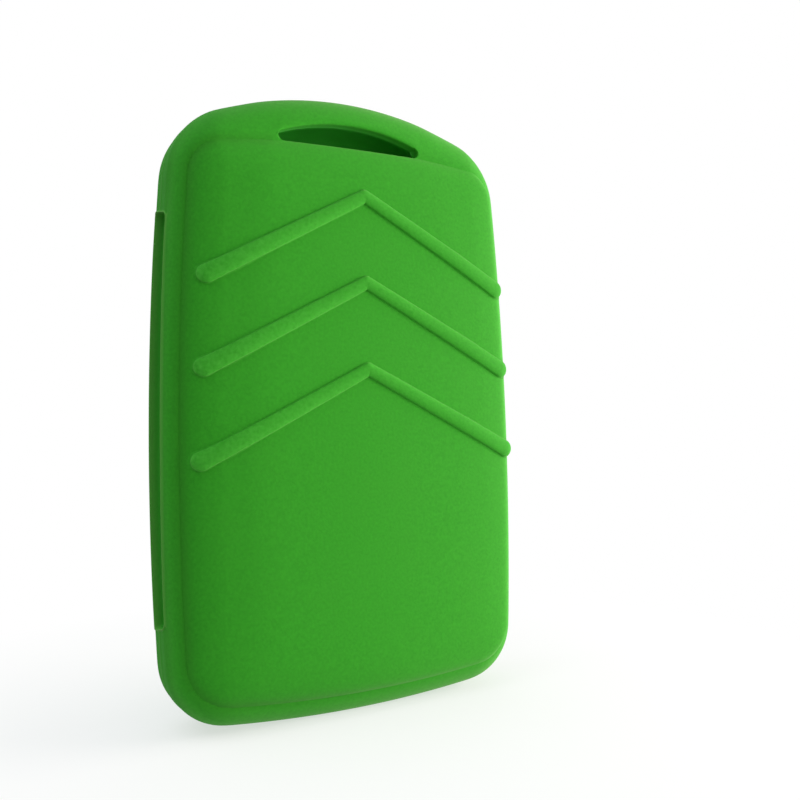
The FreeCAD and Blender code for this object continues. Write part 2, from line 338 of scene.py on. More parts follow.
def inset_from(outline, x, z):
    """How far inside an outline a point lies: the least of (radius less distance from the centre) over those
    arcs of the right half that face the point, for the point or its mirror image there."""
    least, whole_turn = np.full(np.shape(x), np.inf), 2 * math.pi
    for number in RIGHT_HALF_ARCS:
        centre_x, centre_z, radius, first, last = outline[number]
        along, up = np.abs(x) - centre_x, z - centre_z
        turned = (np.arctan2(up, along) - first + ANGLE_SLACK) % whole_turn
        facing = turned <= last - first + 2 * ANGLE_SLACK
        least = np.where(facing, np.minimum(least, radius - np.hypot(along, up)), least)
    return least


def mouth_share(x):
    """How far over a place lies: 0 at the closed side, evenly up to 1 at the mouth's side, where the empty
    sleeve sags because nothing holds it up."""
    return np.clip(0.5 - x / (2 * PANEL_HALF_WIDTH), 0, 1)


def face_level(x, z, depth_in=0.0):
    """The panel's face: the crown, less a pillow's fall towards each edge. A fall grows with the cube of the
    share of its run that is still to go to the edge, and two falls join at a corner as a hypotenuse."""
    falls = []
    side_fall = CLOSED_SIDE_FALL + mouth_share(x) * (MOUTH_SIDE_FALL - CLOSED_SIDE_FALL)
    side_run = CLOSED_SIDE_RUN + mouth_share(x) * (MOUTH_SIDE_RUN - CLOSED_SIDE_RUN)
    for circle, fall, run in (
        (PANEL_SIDE, side_fall, side_run),
        (PANEL_TOP_ARCH, END_FALL, END_FALL_RUN),
        (PANEL_FOOT, END_FALL, END_FALL_RUN),
    ):
        inset = circle[2] - np.hypot(np.abs(x) - circle[0], z - circle[1])
        falls.append(fall * np.clip(1 - inset / run, 0, 1) ** 3)
    return crown_level(x, depth_in) - np.hypot(falls[0], falls[1] + falls[2])


def sleeve_level(x, z, depth_in=0.0):
    """The level of one side at a place: outside the panel the border, which dips towards the crease along an
    exponential, most where it is steep, and inside it the face, less a step wall that dies away inwards
    likewise."""
    panel_inset = inset_from(PANEL_OUTLINE, x, z) - depth_in
    border_inset = inset_from(BORDER_OUTLINE, x, z) - depth_in
    border_inset = border_inset - np.clip(panel_inset, 0, None)
    steepness = np.clip(1 - border_inset / BORDER_EDGE_RADIUS, LEAST_DIP_SHARE, 1)
    deepest = CLOSED_SIDE_DIP + mouth_share(x) * (MOUTH_SIDE_DIP - CLOSED_SIDE_DIP)
    dip = deepest * steepness * np.exp(np.clip(panel_inset, None, 0) / CREASE_DIP_WIDTH)
    border = border_level(border_inset, depth_in) - dip
    face = face_level(x, z, depth_in)
    softness = CLOSED_SIDE_SOFTNESS + mouth_share(x) * (MOUTH_SIDE_SOFTNESS - CLOSED_SIDE_SOFTNESS)
    stepped = face - (face - border) * np.exp(-np.clip(panel_inset, 0, None) / softness)
    return np.where(panel_inset > 0, stepped, border)


def slot_edges(x):
    """Heights of the slot's lower and upper edge at x: a straight line and an arc between round ends."""
    centre = SLOT_LOW + SLOT_END_RADIUS
    shoulder_x, rise = SLOT_HALF_LENGTH - SLOT_END_RADIUS, SLOT_HEIGHT - 2 * SLOT_END_RADIUS
    arch_radius = (shoulder_x**2 + rise**2) / (2 * rise)
    past = np.clip(np.abs(x) - shoulder_x, 0, SLOT_END_RADIUS)
    lobe = np.sqrt(SLOT_END_RADIUS**2 - past**2)
    inside = np.minimum(np.abs(x), shoulder_x)
    arch = SLOT_LOW + SLOT_HEIGHT - arch_radius + np.sqrt(arch_radius**2 - inside**2)
    upper = np.where(past > 0, centre + lobe, arch)
    return centre - lobe, upper


def crease_lines(depth_in):
    """Lines (x, z) round the foot of the panel's step, from the upper to the lower edge of the key ring slot.
    They run together along the crease, part round the slot, with a half ellipse at each end of it, and close
    again beyond its ends along a bell curve."""
    crease = line(PANEL_OUTLINE, depth_in)
    outward = line(PANEL_OUTLINE, depth_in - CREASE_WIDTH) - crease
    at_top = line(PANEL_OUTLINE, 0)
    x = np.where(ARC == TOP_ARC, at_top[:, 0] - SLOT_SHIFT, np.inf)
    beyond = np.clip(np.abs(x) - SLOT_END_X, 0, None)
    fade = np.exp(-((beyond / SLOT_FADE) ** 2))
    low_edge, high_edge = slot_edges(np.clip(np.nan_to_num(x, posinf=SLOT_END_X), -SLOT_END_X, SLOT_END_X))
    x = np.where(fade > 0, x, 0)
    lines = []
    for share in SLOT_LINE_SHARES:
        plain = crease + share * outward
        lobe = SLOT_LOBE_REACH * math.sqrt(1 - (2 * share - 1) ** 2)
        height = low_edge + share * (high_edge - low_edge)
        on_edge = np.stack([SLOT_SHIFT + x + lobe * np.sign(x), height], -1)
        lines.append(plain + fade[:, None] * (on_edge - plain))
    return lines


# Rings of the sleeve's grid, from the parting line outwards
FLAT_SHARES = np.array([0, 0.55, 1])
ROUND_ANGLES = np.radians([3.4, 6.6, 10, 12.8, 15.6, 19, 25, 32, 40.9])
CREASE_STEPS = (0.9, 0.45, 0.15)
STEP_INSETS = np.array([0.1, 0.25, 0.45, 0.75, 1.2, 1.8, 2.6, 3.6])
LIP_ANGLE_NUMBER = 3
PANEL_RING_SHARES = (0.3, 0.6, 0.85)
LIP_RING = 1 + len(FLAT_SHARES) + LIP_ANGLE_NUMBER
UPPER_CREASE_RING = len(FLAT_SHARES) + len(ROUND_ANGLES) + len(CREASE_STEPS)
LOWER_CREASE_RING = UPPER_CREASE_RING + len(SLOT_LINE_SHARES) - 1


def half_rings(sign, depth_in):
    """One side of the sleeve from the parting line to the panel, as an array (ring, column, xyz).
    A border point lies a share of the way from the outline to the crease, and a step point a share of the way
    from the crease into the panel. The level comes from the place, but on the flat side wall it is stepped.
    On the left side the border's angles grow towards the mouth's middle as a parabola, which bows the
    lips."""
    outer = line(BORDER_OUTLINE, depth_in)
    upper, *between, lower = crease_lines(depth_in)
    gap = np.linalg.norm(upper - outer, axis=1)
    ridge = -PARTING_RIDGE if depth_in == 0 else 0.0
    flat_insets = np.concatenate([[ridge], np.zeros(len(FLAT_SHARES))])
    middle_share = (2 * outer[:, 1] - MOUTH_HIGH - MOUTH_LOW) / (MOUTH_HIGH - MOUTH_LOW)
    bow = np.where(ARC == LEFT_SIDE_ARC, LIP_BOW * np.clip(1 - middle_share**2, 0, 1), 0)
    bow_shares = np.sin(math.pi * ROUND_ANGLES / ROUND_ANGLES[-1]) ** 2
    angles = ROUND_ANGLES[:, None] + bow / BORDER_EDGE_RADIUS * bow_shares[:, None]
    round_shares = (1 - np.cos(angles)) / (1 - math.cos(ROUND_ANGLES[-1]))
    crease_gaps = np.array(CREASE_STEPS[1:] + (0.0,))
    insets = np.concatenate([
        np.repeat(flat_insets[:, None], COLUMNS, 1),
        round_shares * (gap - CREASE_STEPS[0]),
        gap - crease_gaps[:, None],
    ])
    border = outer + (insets / gap)[..., None] * (upper - outer)
    panel = line(PANEL_OUTLINE, depth_in + STEP_INSETS[-1])
    step = lower + (STEP_INSETS / STEP_INSETS[-1])[:, None, None] * (panel - lower)
    flat = np.concatenate([border, np.stack([*between, lower]), step])
    levels = sleeve_level(flat[..., 0], flat[..., 1], depth_in)
    side = PARTING_HALF_WIDTH + FLAT_SHARES * (SIDE_FLAT - PARTING_HALF_WIDTH)
    levels[: len(side) + 1] = np.concatenate([[0], side])[:, None]
    if depth_in == 0:
        roll = SLOT_LIP_ROLL * np.sin(np.linspace(0, math.pi, SLOT_COLUMNS + 1))
        levels[UPPER_CREASE_RING, SLOT_SPAN] -= roll
        levels[UPPER_CREASE_RING - 1, SLOT_SPAN] -= BESIDE_LIP_ROLL_SHARE * roll
    return np.stack([flat[..., 0], sign * levels, np.maximum(flat[..., 1], depth_in)], -1)


def window_rings(depth_in, places):
    """Rings round the window on the crowned face: each place is (growth of the outline, drop under the
    face)."""
    rings = []
    for growth, drop in places:
        points = line(WINDOW_OUTLINE, -growth)
        level = crown_level(points[:, 0], depth_in) - drop
        rings.append(np.stack([points[:, 0], level, points[:, 1]], -1))
    return np.array(rings)


def panel_rings(edge, window, depth_in):
    """Rings on the crowned face between the panel's edge and the window: straight shares of the way."""
    shares = np.array(PANEL_RING_SHARES)[:, None, None]
    flat = edge[:, ::2] + shares * (window[:, ::2] - edge[:, ::2])
    return np.stack([flat[..., 0], sleeve_level(flat[..., 0], flat[..., 1], depth_in), flat[..., 1]], -1)


def round_mouth_ends(rings, seam):
    """Shapes the two end columns of the mouth. From the window side to the chevron side an end slants evenly
    towards the mouth's middle, and it turns into each lip round a quarter of a small ellipse. Above, below
    and beside it, the move dies away as a bell curve."""
    z, y = rings[..., 2], rings[..., 1]
    on_left = np.isin(ARC, (LEFT_SIDE_ARC - 1, LEFT_SIDE_ARC, LEFT_SIDE_ARC + 1))[None, :]
    near = np.abs(np.arange(len(rings)) - seam)[:, None] < UPPER_CREASE_RING
    lip = y[seam + LIP_RING]
    reach = MOUTH_END_SLANT + MOUTH_CORNER_DROP
    past = np.clip(1 - (lip - np.abs(y)) / MOUTH_CORNER_RUN, 0, 1)
    slant = MOUTH_END_SLANT * (1 - np.clip(y / lip, -1, 1)) / 2
    corner = MOUTH_CORNER_DROP * (1 - np.sqrt(1 - past**2))
    move = (slant + corner) * np.exp(-((np.clip(np.abs(y) - lip, 0, None) / MOUTH_CORNER_RUN) ** 2))
    for level, up in ((MOUTH_LOW, 1), (MOUTH_HIGH, -1)):
        fade = np.exp(-(((z - level) / (2 * reach)) ** 2))
        rings[..., 2] += on_left * near * up * move * fade
    return rings


def sleeve_rings(depth_in, window):
    """All rings of one skin, from the chevron panel across the parting line to the window."""
    chevron, other = half_rings(-1, depth_in), half_rings(1, depth_in)
    between = panel_rings(other[-1], window[0], depth_in)
    rings = np.concatenate([chevron[::-1], other[1:], between, window])
    return round_mouth_ends(rings, len(chevron) - 1)


def panel_patch(ring):
    """Fills the panel inside a ring: a blend of its right and left columns, plus a blend of its foot and top,
    less the blend of its four corners. Returns the numbers of the ring's columns round the patch as well."""
    up, across = UP_COLUMNS, ACROSS_COLUMNS
    right = np.arange(up + 1)
    top = up + np.arange(across + 1)
    left = 2 * up + across - np.arange(up + 1)
    foot = (COLUMNS - np.arange(across + 1)) % COLUMNS
    u = np.linspace(0, 1, up + 1)[:, None, None]
    v = np.linspace(0, 1, across + 1)[None, :, None]
    sides = (1 - v) * ring[right][:, None] + v * ring[left][:, None]
    ends = (1 - u) * ring[foot][None] + u * ring[top][None]
    corners = (1 - u) * ((1 - v) * ring[foot[0]] + v * ring[foot[-1]])
    corners = corners + u * ((1 - v) * ring[top[0]] + v * ring[top[-1]])
    numbers = np.full((up + 1, across + 1), -1)
    numbers[:, 0], numbers[:, -1] = right, left
    numbers[0], numbers[-1] = foot, top
    return sides + ends - corners, numbers


def grid_quads(numbers, closed):
    """Quads of a grid of vertex numbers, closed in its second direction or not."""
    after = np.roll(numbers, -1, 1)
    quads = np.stack([numbers[:-1], after[:-1], after[1:], numbers[1:]], -1)
    return quads if closed else quads[:, :-1]


def hole_loop(numbers, first_ring, last_ring, first_column, last_column):
    """The vertex numbers round a rectangle of the grid, in order."""
    rings, columns = np.arange(first_ring, last_ring), np.arange(first_column, last_column)
    return np.concatenate([
        numbers[first_ring, columns],
        numbers[rings, last_column],
        numbers[last_ring, columns + 1][::-1],
        numbers[rings + 1, first_column][::-1],
    ])


# Points closer than this are one
MERGE_DISTANCE = 1e-4


def mesh_piece(name, points, quads, material, **tones):
    """A mesh object from points in millimetres and quads: unused points dropped, doubles merged, faces
    outward. Each tone is a value per point that the material reads by name."""
    used, quads = np.unique(quads, return_inverse=True)
    mesh = bpy.data.meshes.new(name)
    mesh.from_pydata(points[used] * MM, [], quads.reshape(-1, 4))
    for tone, values in tones.items():
        attribute = mesh.attributes.new(tone, "FLOAT", "POINT")
        attribute.data.foreach_set("value", values[used].astype(np.float32))
    shape = bmesh.new()
    shape.from_mesh(mesh)
    bmesh.ops.remove_doubles(shape, verts=shape.verts, dist=MERGE_DISTANCE * MM)
    bmesh.ops.recalc_face_normals(shape, faces=shape.faces)
    shape.to_mesh(mesh)
    shape.free()
    mesh.shade_smooth()
    mesh.materials.append(material)
    piece = bpy.data.objects.new(name, mesh)
    bpy.context.scene.collection.objects.link(piece)
    return piece


def subdivide(piece, levels):
    """Adds a subdivision surface, the same in view and in render."""
    smooth = piece.modifiers.new("smooth", "SUBSURF")
    smooth.levels = smooth.render_levels = levels


# The face round the window, as (growth of the outline, drop under the face): groove, land and rounded edge
GROOVE_IN, GROOVE_OUT = RIM_LAND - GROOVE_EDGE, RIM_LAND + RIM_WIDTH + GROOVE_EDGE
WINDOW_FACE = (
    (GROOVE_OUT + GROOVE_FACE_FAR, 0.0),
    (GROOVE_OUT + GROOVE_FACE_NEAR, 0.0),
    (GROOVE_OUT + GROOVE_EDGE, GROOVE_EDGE / 2),
    (GROOVE_OUT, 2 * GROOVE_EDGE),
    (GROOVE_OUT - GROOVE_DRAFT, RIM_SEAT_DEPTH),
    (GROOVE_IN + GROOVE_DRAFT, RIM_SEAT_DEPTH),
    (GROOVE_IN, 2 * GROOVE_EDGE),
    (GROOVE_IN - GROOVE_EDGE, LAND_DROP),
    (GROOVE_EDGE, GROOVE_EDGE),
    (0.0, WINDOW_EDGE_DROP),
)
WINDOW_WALL_DROPS = (0.35, 0.8, 1.25, 1.6)
WALL_BRIDGE_SHARES = (0.06, 0.2, 0.5, 0.8, 0.94)


def sleeve_holes(seam):
    """The mouth and the key ring slot's two openings: first and last ring, first and last column of each."""
    mouth_columns = np.flatnonzero(ARC == LEFT_SIDE_ARC)
    heights = line(BORDER_OUTLINE, 0)[mouth_columns, 1]
    ends = [mouth_columns[np.argmin(np.abs(heights - level))] for level in (MOUTH_HIGH, MOUTH_LOW)]
    slot = (SLOT_FIRST, SLOT_FIRST + SLOT_COLUMNS)
    return [
        (seam - LIP_RING, seam + LIP_RING, *ends),
        (seam - LOWER_CREASE_RING, seam - UPPER_CREASE_RING, *slot),
        (seam + UPPER_CREASE_RING, seam + LOWER_CREASE_RING, *slot),
    ]


def lip_highlights(outer, numbers, mouth, seam, count):
    """The painted highlight of the outer skin where it is thin and catches light: on the parting line, the
    mouth's lip and the ring beside it, and on the slot's lower edge, where it dies away towards the ends as a
    parabola."""
    low, high, first, last = mouth
    tones = np.zeros(count)
    tones[numbers[seam]] = PARTING_HIGHLIGHT
    tones[hole_loop(numbers, low, high, first, last)] = LIP_HIGHLIGHT
    tones[hole_loop(numbers, low - 1, high + 1, first - 1, last + 1)] = BESIDE_LIP_HIGHLIGHT
    for ring in (seam - LOWER_CREASE_RING, seam + LOWER_CREASE_RING):
        along = outer[ring, SLOT_SPAN, 0] / SLOT_HALF_LENGTH
        tones[numbers[ring, SLOT_SPAN]] = SLOT_LIP_HIGHLIGHT * (1 - along**2).clip(0)
    return tones


def painted_shade_tones(points, sheltered):
    """The painted shade of the outer skin, and where the skin is sheltered from the sheen. The painted shade
    grows towards the mouth's side with a square. It is a bell curve across the panel's crease, except at the
    slot, and another across the side wall, which is sheltered too."""
    x, z = points[:, 0], points[:, 2]
    by_mouth = mouth_share(x) ** 2
    # Painted shade: a darker green along the panel's crease and along the side wall by the mouth
    crease = by_mouth * np.exp(-((inset_from(PANEL_OUTLINE, x, z) / CREASE_SHADE_WIDTH) ** 2))
    at_slot = np.abs(x - SLOT_SHIFT) < SLOT_HALF_LENGTH + SLOT_END_RADIUS
    crease[at_slot & (z > HEIGHT / 2)] = 0
    side = by_mouth * np.exp(-((inset_from(BORDER_OUTLINE, x, z) / SIDE_SHADE_WIDTH) ** 2))
    side[sheltered > 0] = 0
    return np.maximum(crease, SIDE_SHADE * side), np.maximum(sheltered, side)


def make_sleeve(material):
    """The silicone sleeve as one skin: the outer rings, the window's drafted wall and the inner rings form
    one grid. Quads over the mouth and the slot are left out, and walls join their outer and inner edges: a
    wall point lies a share of the way in. Each block holds points and three tones of them: the pale painted
    highlight, the inside's painted light and the shelter from the sheen."""
    draft = WINDOW_DRAFT / WALL
    window_wall = tuple((-drop * draft, drop) for drop in WINDOW_WALL_DROPS)
    outer = sleeve_rings(0.0, window_rings(0.0, WINDOW_FACE + window_wall))
    inner = sleeve_rings(WALL, window_rings(WALL, ((GROOVE_OUT, 0.0), (0.0, 0.0), (-WINDOW_DRAFT, 0.0))))
    seam = len(half_rings(1, 0.0)) - 1
    holes = sleeve_holes(seam)

    rings = np.concatenate([outer, inner[::-1]])
    points = rings.reshape(-1, 3)
    numbers = np.arange(len(points)).reshape(rings.shape[:2])
    outer_numbers, inner_numbers = numbers[: len(outer)], numbers[::-1][: len(inner)]
    inside = np.zeros(len(points))
    inside[inner_numbers] = 1
    # The pale tone is a painted highlight, and the inside tone paints the inner skin a brighter green for
    # light that comes through
    blocks = [(points, lip_highlights(outer, outer_numbers, holes[0], seam, len(points)), inside, inside)]

    keep = np.ones((len(rings) - 1, COLUMNS), bool)
    shares = np.array(WALL_BRIDGE_SHARES)[:, None]
    bridges, total = [], len(points)
    for low, high, first, last in holes:
        keep[low:high, first:last] = False
        keep[len(keep) - high : len(keep) - low, first:last] = False
        outer_loop = hole_loop(outer_numbers, low, high, first, last)
        inner_loop = hole_loop(inner_numbers, low, high, first, last)
        walls = points[outer_loop] + shares[..., None] * (points[inner_loop] - points[outer_loop])
        wall_numbers = total + np.arange(walls.size // 3).reshape(walls.shape[:2])
        bridge = np.concatenate([[outer_loop], wall_numbers, [inner_loop]])
        bridges.append(grid_quads(bridge, True).reshape(-1, 4))
        # Painted light on the walls: the mouth's cut walls get the pale tone, fading inwards, and all walls
        # get the brighter inside green, growing with the cube of the share
        cut = CUT_WALL_LIGHT * (1 - shares) ** 2 * (walls[..., 0] < -SLOT_HALF_LENGTH)
        within = np.repeat(shares**3, len(outer_loop))
        blocks.append((walls.reshape(-1, 3), cut.ravel(), within, np.ones(cut.size)))
        total += cut.size
    points[hole_loop(outer_numbers, *holes[0]), 0] -= LIP_HEIGHT

    quads = [grid_quads(numbers, True)[keep], *bridges]
    panel_edges = ((outer[0], outer_numbers[0], 0.0), (inner[0], inner_numbers[0], WALL))
    for ring, ring_numbers, depth_in in panel_edges:
        patch, around = panel_patch(ring)
        patch[..., 1] = -sleeve_level(patch[..., 0], patch[..., 2], depth_in)
        new = around < 0
        patch_numbers = ring_numbers[around]
        patch_numbers[new] = total + np.arange(new.sum())
        within = np.full(new.sum(), float(depth_in > 0))
        blocks.append((patch[new], np.zeros(new.sum()), within, within))
        total += new.sum()
        quads.append(grid_quads(patch_numbers, False).reshape(-1, 4))

    points, lip, inside, sheltered = (np.concatenate(parts) for parts in zip(*blocks))
    # Painted shade along the crease and the side wall by the mouth
    crease, sheltered = painted_shade_tones(points, sheltered)
    tones = {"lip": lip, "inside": inside, "crease": crease, "sheltered": sheltered}
    sleeve = mesh_piece("silicone_sleeve", points, np.concatenate(quads), material, **tones)
    subdivide(sleeve, 1)
    return sleeve


# Columns round half a rib's path, and rows down its section
APEX_COLUMNS = 6
ARM_COLUMNS = 30
CAP_COLUMNS = 20
BEAD_ROWS = 12
FOOT_ANGLES = np.radians([30, 60, 90])


def rib_path(apex, end):
    """The columns round a rib: a point on its centre line, the half width there, and the way out for a unit
    of it. The way out turns round the apex's upper corner, runs straight along the arm, turns a half circle
    round the end, and runs back to the mitre under the apex. The half width grows evenly from the apex to
    the end."""
    slope = math.atan2(apex[1] - end[1], end[0] - apex[0])
    along = np.array([math.cos(slope), -math.sin(slope)])
    across = np.array([math.sin(slope), math.cos(slope)])
    mitre = np.array([0, 1 / across[1]])
    turn = slope * np.arange(APEX_COLUMNS) / APEX_COLUMNS
    t = (1 - np.cos(math.pi * np.arange(ARM_COLUMNS) / ARM_COLUMNS)) / 2
    cap = math.pi / 2 - math.pi * np.arange(CAP_COLUMNS) / CAP_COLUMNS
    shares = np.concatenate([np.zeros(APEX_COLUMNS), t, np.ones(CAP_COLUMNS), 1 - t, [0]])[:, None]
    apex, end = np.array(apex), np.array(end)
    out = np.concatenate([
        np.stack([np.sin(turn), np.cos(turn)], -1),
        np.repeat([across], ARM_COLUMNS, 0),
        np.cos(cap)[:, None] * along + np.sin(cap)[:, None] * across,
        -across - t[:, None] * (mitre - across),
        [-mitre],
    ])
    half = (RIB_APEX_WIDTH + shares * (RIB_END_WIDTH - RIB_APEX_WIDTH)) / 2
    spine = shares * (end - apex)
    flip = np.array([-1, 1])
    spine = apex + np.concatenate([spine, spine[-2:0:-1] * flip])
    return spine, np.concatenate([half, half[-2:0:-1]]), np.concatenate([out, out[-2:0:-1] * flip])


def make_rib(index, material):
    """One chevron rib: a bead on the panel's face, whose section is carried round its path. From the ridge
    down the section is cosine and sine to a power under one, then an upright side, then a fillet into the
    face, and under the face it closes to the centre line again. A lighter tone, partly scuffs and partly
    painted light, grows evenly towards the mouth's side, and a painted highlight grows down a side with the
    fourth power of how far it faces there. A fillet that faces away from the mouth gets painted shade."""
    apex_z = RIB_DATUM - RIB_TOP_GAP - index * RIB_PITCH
    end_z = apex_z - RIB_RISE
    edge_x = PANEL_SIDE[0] + math.sqrt(PANEL_SIDE[2] ** 2 - (end_z - PANEL_SIDE[1]) ** 2)
    end_x = edge_x - RIB_END_GAPS[index] - RIB_END_WIDTH / 2
    spine, half, way = rib_path((RIB_SHIFT, apex_z), (RIB_SHIFT + end_x, end_z))
    beside = spine + half * way
    half = half[:, 0]
    fillet_top = sleeve_level(*beside.T) - face_level(*beside.T) + RIB_FOOT_RADIUS
    lowest = np.arcsin(np.clip(fillet_top / RIB_HEIGHT, 0, 1) ** (1 / RIB_SQUARENESS))
    angles = math.pi / 2 + np.linspace(0, 1, BEAD_ROWS)[:, None] * (lowest - math.pi / 2)
    out = half * np.clip(np.cos(angles), 0, 1) ** RIB_SQUARENESS
    up = RIB_HEIGHT * np.clip(np.sin(angles), 0, 1) ** RIB_SQUARENESS
    out[0] = 0
    side_foot = np.minimum(fillet_top, up[-1] - RIB_LEAST_SIDE)
    fillet_out = out[-1] + RIB_FOOT_RADIUS * (1 - np.cos(FOOT_ANGLES))[:, None]
    fillet_up = side_foot - RIB_FOOT_RADIUS * np.sin(FOOT_ANGLES)[:, None]
    out = np.concatenate([out, out[-1:], fillet_out, fillet_out[-1:] + RIB_FOOT_RADIUS, out[:1]])
    up = np.concatenate([up, [side_foot], fillet_up, np.repeat(fillet_up[-1:] - RIB_SKIRT, 2, 0)])
    up[-1] = up[-1].min()
    place = spine + out[..., None] * way
    level = face_level(place[..., 0], place[..., 1]) + up
    points = np.stack([place[..., 0], -level, place[..., 1]], -1)
    scuff_and_light, crease = np.zeros(up.shape), np.zeros(up.shape)
    down_side = np.linspace(0, 1, BEAD_ROWS)[:, None]
    # Painted highlight down the side that faces the mouth, at the caps
    end_highlight = RIB_END_HIGHLIGHT * down_side * np.clip(-way[:, 0], 0, 1) ** 4
    # Scuffs and painted light, lighter towards the mouth's side
    scuff_and_light[:BEAD_ROWS] = RIB_ARM_SCUFF_AND_LIGHT * mouth_share(spine[:, 0]) + end_highlight
    # Painted shade on the fillet that faces away from the mouth
    crease[BEAD_ROWS:] = np.clip(way[:, 0], 0, 1)
    numbers = np.arange(up.size).reshape(up.shape)
    quads = grid_quads(numbers, True).reshape(-1, 4)
    tones = {"scuff_and_light": scuff_and_light.ravel(), "crease": crease.ravel()}
    return mesh_piece(f"grip_rib_{RIB_NAMES[index]}", points.reshape(-1, 3), quads, material, **tones)


RIM_SECTION_POINTS = 24
RIM_SQUARENESS = 0.7


def make_rim(material):
    """The window's bead: a rounded oblong section, cosine and sine to a power under one, carried round the
    window's outline on the crowned face."""
    turn = 2 * math.pi * np.arange(RIM_SECTION_POINTS) / RIM_SECTION_POINTS
    across, up = (np.sign(f) * np.abs(f) ** RIM_SQUARENESS for f in (np.cos(turn), np.sin(turn)))
    growth = RIM_LAND + RIM_WIDTH / 2 * (1 + across)
    half = (RIM_HEIGHT + RIM_SEAT_DEPTH) / 2
    height = (RIM_HEIGHT - RIM_SEAT_DEPTH) / 2 + half * up
    rings = window_rings(0.0, zip(growth, -height))
    numbers = np.arange(rings.size // 3).reshape(rings.shape[:2])
    quads = grid_quads(np.concatenate([numbers, numbers[:1]]), True).reshape(-1, 4)
    return mesh_piece("window_bead", rings.reshape(-1, 3), quads, material)


# Sizes of the materials' patterns: a mottling, drawn coarser than the real one so that it shows, the scuffs
# on the ribs, soft clouds in the green and in the white, and how far light spreads under the skin
GRAIN_SIZE = 0.35
GRAIN_DEPTH = 0.05
SPECK_SIZE = 0.5
CLOUD_SIZE = 9.0
BEAD_CLOUD_SIZE = 0.8
SCATTER_SIZE = 0.5


def linear(hex_colour):
    """An sRGB hex colour as linear red, green, blue and alpha."""
    values = [int(hex_colour[i : i + 2], 16) / 255 for i in (1, 3, 5)]
    return [v / 12.92 if v <= 0.04045 else ((v + 0.055) / 1.055) ** 2.4 for v in values] + [1.0]


def add_node(tree, kind, settings=(), **links):
    """Adds a node, sets its properties or input values by name, and links its inputs from given sockets."""
    node = tree.nodes.new(kind)
    for key, value in dict(settings).items():
        if hasattr(node, key):
            setattr(node, key, value)
        else:
            node.inputs[key].default_value = value
    for key, socket in links.items():
        tree.links.new(socket, node.inputs[key.replace("_", " ")])
    return node


def green_silicone():
    """Moulded silicone rubber with a blasted, soft-touch skin. The eye sees a matt, finely mottled green with
    a soft sheen. Painted highlights make it paler where a thin lip or the parting line scatters light.
    Painted shade makes it darker in the crease, on the side wall by the mouth and on rib fillets. The ribs
    are lighter with scuffs and painted light, and the inside is painted a brighter, purer green for the light
    that comes through."""
    material = bpy.data.materials.new("moulded_green_silicone")
    material.use_nodes = True
    tree = material.node_tree
    shader = tree.nodes["Principled BSDF"]
    place = add_node(tree, "ShaderNodeTexCoord").outputs["Object"]
    noise = {}
    patterns = (("grain", GRAIN_SIZE, 3.0), ("cloud", CLOUD_SIZE, 2.0), ("speck", SPECK_SIZE, 2.0))
    for name, size, detail in patterns:
        settings = {"Scale": 1 / (size * MM), "Detail": detail}
        noise[name] = add_node(tree, "ShaderNodeTexNoise", settings, Vector=place).outputs["Fac"]
    tone = {}
    for name in ("lip", "crease", "inside", "scuff_and_light", "sheltered"):
        tone[name] = add_node(tree, "ShaderNodeAttribute", {"attribute_name": name}).outputs["Fac"]
    scuff_and_light_amount = add_node(tree, "ShaderNodeMapRange", {"From Min": 0.2, "From Max": 0.8}, Value=noise["speck"])
    tree.links.new(tone["scuff_and_light"], scuff_and_light_amount.inputs["To Max"])
    mottle = add_node(tree, "ShaderNodeMix", {"data_type": "RGBA"}, Factor=noise["grain"])
    mottle.inputs["A"].default_value = linear("#1F8711")
    mottle.inputs["B"].default_value = linear("#39AC23")
    colour = mottle.outputs["Result"]
    for socket, strength, shade in (
        (noise["cloud"], 0.3, "#3A9A22"),
        # Painted highlight: pale on thin lips, the parting line and the mouth's cut walls
        (tone["lip"], 1.0, "#62AE48"),
        # Painted shade: darker in the crease, on the side wall by the mouth and on rib fillets
        (tone["crease"], 0.42, "#276E10"),
        # Painted light: a brighter green inside, for light that comes through the walls
        (tone["inside"], 1.0, "#55D949"),
        # Lighter specks on the ribs: scuffs, with painted light towards the mouth and a painted highlight on
        # the ends
        (scuff_and_light_amount.outputs["Result"], 0.4, "#4DB838"),
    ):
        share = add_node(tree, "ShaderNodeMath", {"operation": "MULTIPLY"})
        tree.links.new(socket, share.inputs[0])
        share.inputs[1].default_value = strength
        layer = add_node(tree, "ShaderNodeMix", {"data_type": "RGBA"}, Factor=share.outputs["Value"])
        tree.links.new(colour, layer.inputs["A"])
        layer.inputs["B"].default_value = linear(shade)
        colour = layer.outputs["Result"]
    tree.links.new(colour, shader.inputs["Base Color"])
    relief = {"Strength": 0.3, "Distance": GRAIN_DEPTH * MM}
    bump = add_node(tree, "ShaderNodeBump", relief, Height=noise["grain"])
    tree.links.new(bump.outputs["Normal"], shader.inputs["Normal"])
    sheen = add_node(tree, "ShaderNodeMapRange", {"To Min": 0.14, "To Max": 0.0}, Value=tone["sheltered"])
    tree.links.new(sheen.outputs["Result"], shader.inputs["Sheen Weight"])
    shader.inputs["Sheen Tint"].default_value = linear("#FFF6DC")
    shader.inputs["Roughness"].default_value = 0.8
    shader.inputs["IOR"].default_value = 1.41
    shader.inputs["Specular IOR Level"].default_value = 0.2
    shader.inputs["Subsurface Weight"].default_value = 0.2
    shader.inputs["Subsurface Radius"].default_value = (0.5, 1.0, 0.35)
    shader.inputs["Subsurface Scale"].default_value = SCATTER_SIZE * MM
    return material


